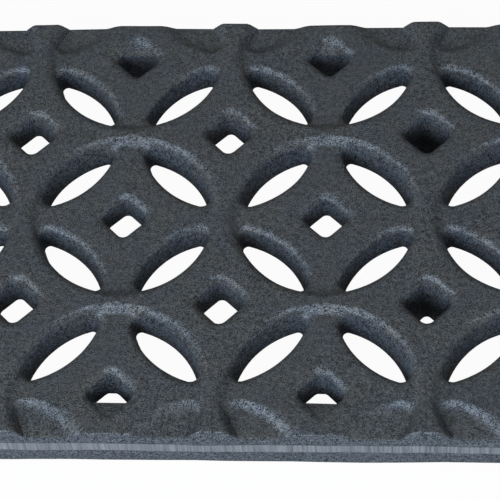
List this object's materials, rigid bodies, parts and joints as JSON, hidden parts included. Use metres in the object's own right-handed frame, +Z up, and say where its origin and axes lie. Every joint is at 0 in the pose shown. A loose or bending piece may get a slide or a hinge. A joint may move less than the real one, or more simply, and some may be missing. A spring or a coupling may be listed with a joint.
{
  "type": "trench drain grate",
  "caption": "Flat rectangular cast iron grate with a raised lattice of touching rings, leaf-shaped slots and diamond holes. Drops into a channel's rebate and lets surface water drain through.",
  "frame": {"origin": "centre of the bearing face that the grate stands on", "axes": "+X along the trench, +Y across it, +Z up to the face that is walked on"},
  "size_m": [0.3018, 0.125, 0.0143],
  "materials": {
    "casting": "as cast, dark charcoal grey with a fine sand grain, parting line ground off"
  },
  "bodies": {
    "root": {"grate": "casting"}
  },
  "joints": []
}
